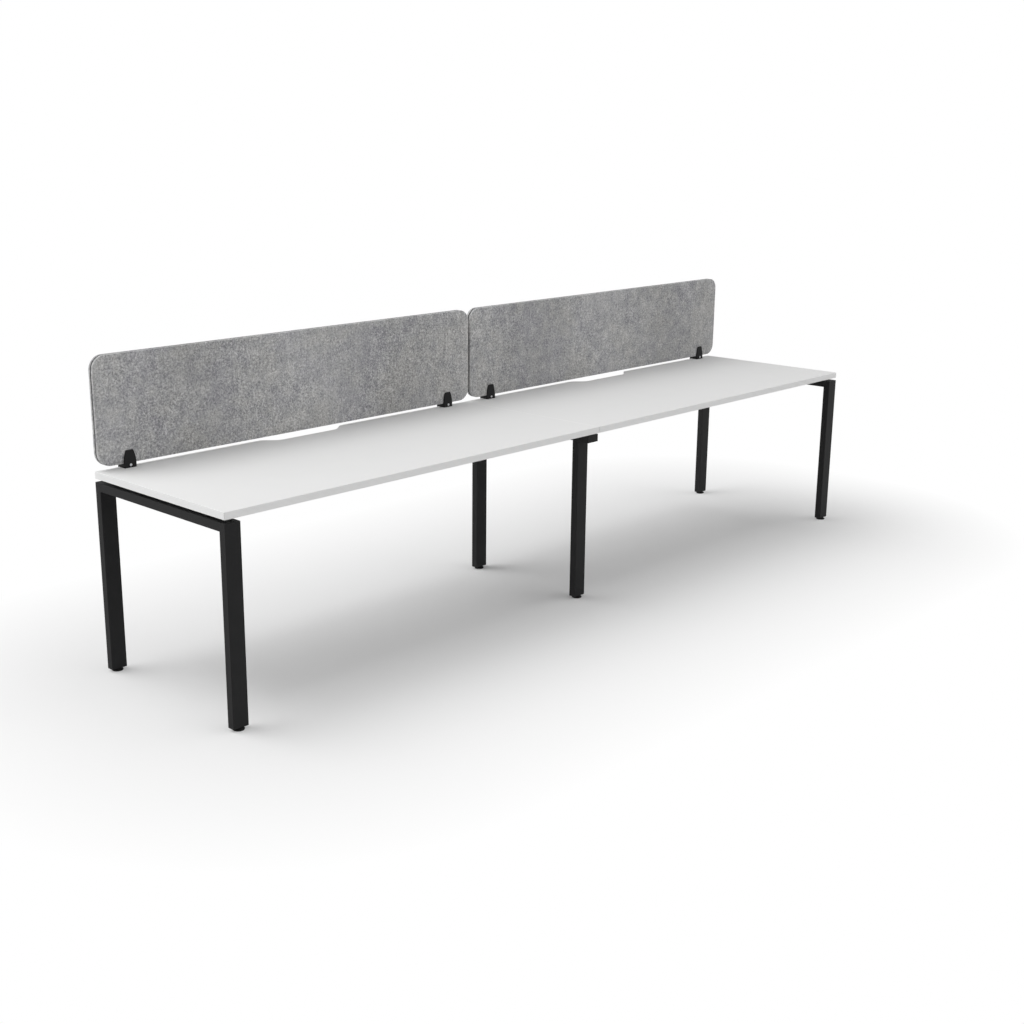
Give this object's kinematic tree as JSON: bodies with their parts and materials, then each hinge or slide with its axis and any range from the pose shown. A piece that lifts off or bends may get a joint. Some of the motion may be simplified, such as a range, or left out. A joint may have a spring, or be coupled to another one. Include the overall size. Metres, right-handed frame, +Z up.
{
  "type": "office workstation desk",
  "caption": "Long bench workstation: white worktops on black tube leg frames with levelling feet, and grey felt screens clamped along the rear edge above cable scallops.",
  "frame": {"origin": "on the floor, at the middle of the run and the middle of the worktops' depth", "axes": "+X along the run to the sitter's right, +Y from the sitter to the screens, +Z up"},
  "size_m": [3.6, 0.763, 1.13],
  "materials": {
    "melamine": "matt white melamine",
    "edging": "white edging",
    "frame_black": "satin black powder coat",
    "bracket_black": "satin black powder coat",
    "black_plastic": "moulded black plastic",
    "zinc_steel": "bright zinc",
    "felt": "mottled grey needle felt",
    "screen_core": "dark grey board"
  },
  "bodies": {
    "workstation": {"beam_bolts": "zinc_steel", "beam_end_plates": "frame_black", "beam_rivet_nuts": "zinc_steel", "bracket_wood_screws": "zinc_steel", "clamp_screws": "zinc_steel", "left_frame_front_leg": "frame_black", "left_frame_rail": "frame_black", "left_frame_rear_leg": "frame_black", "left_front_beam": "frame_black", "left_front_leg_plug": "black_plastic", "left_rear_beam": "frame_black", "left_rear_leg_plug": "black_plastic", "left_screen_core": "screen_core", "left_screen_front_felt": "felt", "left_screen_inner_bracket": "bracket_black", "left_screen_inner_clamp_plate": "bracket_black", "left_screen_outer_bracket": "bracket_black", "left_screen_outer_clamp_plate": "bracket_black", "left_screen_rear_felt": "felt", "left_top_board": "melamine", "left_top_edging": "edging", "middle_frame_front_leg": "frame_black", "middle_frame_rail": "frame_black", "middle_frame_rear_leg": "frame_black", "middle_front_leg_plug": "black_plastic", "middle_rail_front_cap": "black_plastic", "middle_rail_rear_cap": "black_plastic", "middle_rear_leg_plug": "black_plastic", "right_frame_front_leg": "frame_black", "right_frame_rail": "frame_black", "right_frame_rear_leg": "frame_black", "right_front_beam": "frame_black", "right_front_leg_plug": "black_plastic", "right_rear_beam": "frame_black", "right_rear_leg_plug": "black_plastic", "right_screen_core": "screen_core", "right_screen_front_felt": "felt", "right_screen_inner_bracket": "bracket_black", "right_screen_inner_clamp_plate": "bracket_black", "right_screen_outer_bracket": "bracket_black", "right_screen_outer_clamp_plate": "bracket_black", "right_screen_rear_felt": "felt", "right_top_board": "melamine", "right_top_edging": "edging", "top_screws": "zinc_steel", "top_spacers": "black_plastic"},
    "left_front_foot_pad": {"left_front_foot_pad": "black_plastic"},
    "left_front_foot_stud": {"left_front_foot_stud": "zinc_steel"},
    "left_rear_foot_pad": {"left_rear_foot_pad": "black_plastic"},
    "left_rear_foot_stud": {"left_rear_foot_stud": "zinc_steel"},
    "middle_front_foot_pad": {"middle_front_foot_pad": "black_plastic"},
    "middle_front_foot_stud": {"middle_front_foot_stud": "zinc_steel"},
    "middle_rear_foot_pad": {"middle_rear_foot_pad": "black_plastic"},
    "middle_rear_foot_stud": {"middle_rear_foot_stud": "zinc_steel"},
    "right_front_foot_pad": {"right_front_foot_pad": "black_plastic"},
    "right_front_foot_stud": {"right_front_foot_stud": "zinc_steel"},
    "right_rear_foot_pad": {"right_rear_foot_pad": "black_plastic"},
    "right_rear_foot_stud": {"right_rear_foot_stud": "zinc_steel"}
  },
  "joints": [
    {"name": "left_front_foot_travel", "type": "slide", "parent": "workstation", "child": "left_front_foot_pad", "axis": [0, 0, -1], "range_m": [0, 0.0151]},
    {"name": "left_front_foot_turn", "type": "hinge", "parent": "left_front_foot_pad", "child": "left_front_foot_stud", "pos_m": [-1.77, -0.36, 0.0085], "axis": [0, 0, -1], "range_deg": [0, 4320]},
    {"name": "left_rear_foot_travel", "type": "slide", "parent": "workstation", "child": "left_rear_foot_pad", "axis": [0, 0, -1], "range_m": [0, 0.0151]},
    {"name": "left_rear_foot_turn", "type": "hinge", "parent": "left_rear_foot_pad", "child": "left_rear_foot_stud", "pos_m": [-1.77, 0.36, 0.0085], "axis": [0, 0, -1], "range_deg": [0, 4320]},
    {"name": "middle_front_foot_travel", "type": "slide", "parent": "workstation", "child": "middle_front_foot_pad", "axis": [0, 0, -1], "range_m": [0, 0.0151]},
    {"name": "middle_front_foot_turn", "type": "hinge", "parent": "middle_front_foot_pad", "child": "middle_front_foot_stud", "pos_m": [0, -0.28, 0.0085], "axis": [0, 0, -1], "range_deg": [0, 4320]},
    {"name": "middle_rear_foot_travel", "type": "slide", "parent": "workstation", "child": "middle_rear_foot_pad", "axis": [0, 0, -1], "range_m": [0, 0.0151]},
    {"name": "middle_rear_foot_turn", "type": "hinge", "parent": "middle_rear_foot_pad", "child": "middle_rear_foot_stud", "pos_m": [0, 0.28, 0.0085], "axis": [0, 0, -1], "range_deg": [0, 4320]},
    {"name": "right_front_foot_travel", "type": "slide", "parent": "workstation", "child": "right_front_foot_pad", "axis": [0, 0, -1], "range_m": [0, 0.0151]},
    {"name": "right_front_foot_turn", "type": "hinge", "parent": "right_front_foot_pad", "child": "right_front_foot_stud", "pos_m": [1.77, -0.36, 0.0085], "axis": [0, 0, -1], "range_deg": [0, 4320]},
    {"name": "right_rear_foot_travel", "type": "slide", "parent": "workstation", "child": "right_rear_foot_pad", "axis": [0, 0, -1], "range_m": [0, 0.0151]},
    {"name": "right_rear_foot_turn", "type": "hinge", "parent": "right_rear_foot_pad", "child": "right_rear_foot_stud", "pos_m": [1.77, 0.36, 0.0085], "axis": [0, 0, -1], "range_deg": [0, 4320]}
  ],
  "couplings": [
    {"joint": "left_front_foot_travel", "follows": "left_front_foot_turn", "m_per_rad": 0.00019894},
    {"joint": "left_rear_foot_travel", "follows": "left_rear_foot_turn", "m_per_rad": 0.00019894},
    {"joint": "middle_front_foot_travel", "follows": "middle_front_foot_turn", "m_per_rad": 0.00019894},
    {"joint": "middle_rear_foot_travel", "follows": "middle_rear_foot_turn", "m_per_rad": 0.00019894},
    {"joint": "right_front_foot_travel", "follows": "right_front_foot_turn", "m_per_rad": 0.00019894},
    {"joint": "right_rear_foot_travel", "follows": "right_rear_foot_turn", "m_per_rad": 0.00019894}
  ]
}
